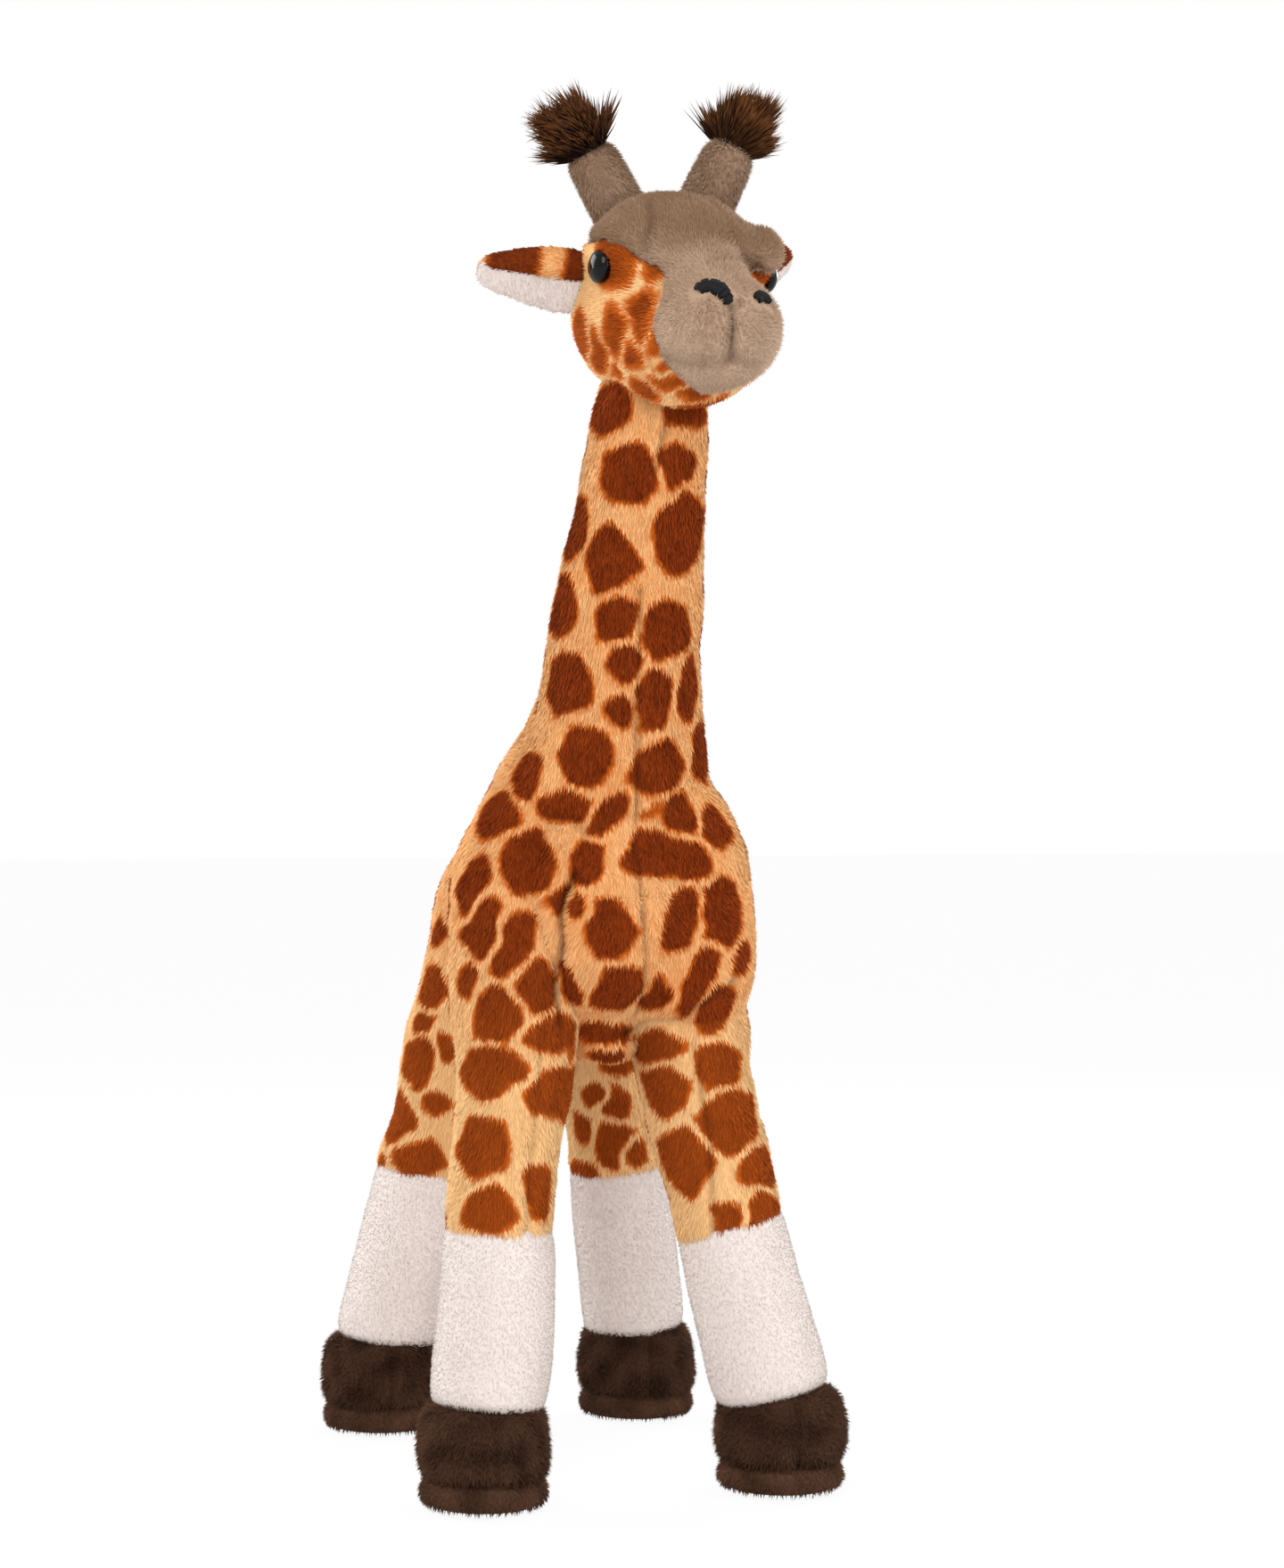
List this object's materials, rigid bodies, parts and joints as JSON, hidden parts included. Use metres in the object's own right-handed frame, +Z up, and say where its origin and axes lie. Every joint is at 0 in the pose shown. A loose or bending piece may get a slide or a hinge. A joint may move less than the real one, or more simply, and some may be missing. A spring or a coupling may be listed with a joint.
{
  "type": "plush giraffe",
  "caption": "Standing plush giraffe with long neck, spotted print plush, taupe muzzle, white lower legs, dark hooves, tufted horns, ears and tail.",
  "frame": {"origin": "on the floor, under the middle of the toy's outline", "axes": "+Z up; the giraffe faces -Y, and +X is its own left"},
  "size_m": [0.178, 0.3385, 0.5563],
  "materials": {
    "print_plush": "soft pile with brown spots on tan",
    "taupe_plush": "soft pile",
    "white_plush": "short pile",
    "hoof_plush": "short pile",
    "tuft_pile": "long pile",
    "black_thread": "satin stitch",
    "stuffing": "loose fibre",
    "pellet_bag": "plain weave",
    "eye_plastic": "polished",
    "washer_plastic": "moulded"
  },
  "bodies": {
    "torso": {"torso_cover": "print_plush", "torso_stuffing": "stuffing"},
    "neck": {"neck_cover": "print_plush", "neck_stuffing": "stuffing", "mane": "tuft_pile"},
    "head": {"head_cover": "print_plush", "face_cover": "taupe_plush", "head_stuffing": "stuffing", "left_eye": "eye_plastic", "left_eye_washer": "washer_plastic", "left_nostril": "black_thread", "left_ossicone": "taupe_plush", "left_ossicone_tuft": "tuft_pile", "right_eye": "eye_plastic", "right_eye_washer": "washer_plastic", "right_nostril": "black_thread", "right_ossicone": "taupe_plush", "right_ossicone_tuft": "tuft_pile"},
    "left_ear": {"left_ear_back": "print_plush", "left_ear_lining": "white_plush"},
    "right_ear": {"right_ear_back": "print_plush", "right_ear_lining": "white_plush"},
    "tail": {"tail": "print_plush", "tail_tuft": "tuft_pile"},
    "front_left_leg": {"front_left_leg_cover": "print_plush", "front_left_leg_stuffing": "stuffing", "front_left_sock": "white_plush", "front_left_hoof_cover": "hoof_plush", "front_left_hoof_pellets": "pellet_bag", "front_left_sole": "hoof_plush"},
    "front_right_leg": {"front_right_leg_cover": "print_plush", "front_right_leg_stuffing": "stuffing", "front_right_sock": "white_plush", "front_right_hoof_cover": "hoof_plush", "front_right_hoof_pellets": "pellet_bag", "front_right_sole": "hoof_plush"},
    "rear_left_leg": {"rear_left_leg_cover": "print_plush", "rear_left_leg_stuffing": "stuffing", "rear_left_sock": "white_plush", "rear_left_hoof_cover": "hoof_plush", "rear_left_hoof_pellets": "pellet_bag", "rear_left_sole": "hoof_plush"},
    "rear_right_leg": {"rear_right_leg_cover": "print_plush", "rear_right_leg_stuffing": "stuffing", "rear_right_sock": "white_plush", "rear_right_hoof_cover": "hoof_plush", "rear_right_hoof_pellets": "pellet_bag", "rear_right_sole": "hoof_plush"}
  },
  "joints": [
    {"name": "neck_bend", "type": "hinge", "parent": "torso", "child": "neck", "pos_m": [-0.00737, -0.04525, 0.24], "axis": [1, 0, 0], "range_deg": [-5, 8], "stiffness_Nm_per_rad": 6},
    {"name": "head_turn", "type": "hinge", "parent": "neck", "child": "head", "pos_m": [0.0025, -0.09625, 0.452], "axis": [0.0463, -0.2577, 0.9651], "range_deg": [-35, 20], "stiffness_Nm_per_rad": 0.8},
    {"name": "left_ear_flop", "type": "hinge", "parent": "head", "child": "left_ear", "pos_m": [0.03308, -0.09007, 0.481], "axis": [-0.6428, 0.766, 0], "range_deg": [-25, 25], "stiffness_Nm_per_rad": 0.03},
    {"name": "right_ear_flop", "type": "hinge", "parent": "head", "child": "right_ear", "pos_m": [-0.02858, -0.09655, 0.481], "axis": [0.2079, 0.9781, 0], "range_deg": [-25, 25], "stiffness_Nm_per_rad": 0.03},
    {"name": "tail_lift", "type": "hinge", "parent": "torso", "child": "tail", "pos_m": [0.0075, 0.12075, 0.25], "axis": [1, 0, 0], "range_deg": [0, 60], "stiffness_Nm_per_rad": 0.03},
    {"name": "front_left_hip", "type": "hinge", "parent": "torso", "child": "front_left_leg", "pos_m": [0.0165, -0.05925, 0.24], "axis": [1, 0, 0], "range_deg": [-12, 12], "stiffness_Nm_per_rad": 6},
    {"name": "front_right_hip", "type": "hinge", "parent": "torso", "child": "front_right_leg", "pos_m": [-0.0405, -0.05925, 0.24], "axis": [1, 0, 0], "range_deg": [-12, 12], "stiffness_Nm_per_rad": 6},
    {"name": "rear_left_hip", "type": "hinge", "parent": "torso", "child": "rear_left_leg", "pos_m": [0.0285, 0.09075, 0.24], "axis": [1, 0, 0], "range_deg": [-12, 12], "stiffness_Nm_per_rad": 6},
    {"name": "rear_right_hip", "type": "hinge", "parent": "torso", "child": "rear_right_leg", "pos_m": [-0.0135, 0.09075, 0.24], "axis": [1, 0, 0], "range_deg": [-12, 12], "stiffness_Nm_per_rad": 6}
  ]
}
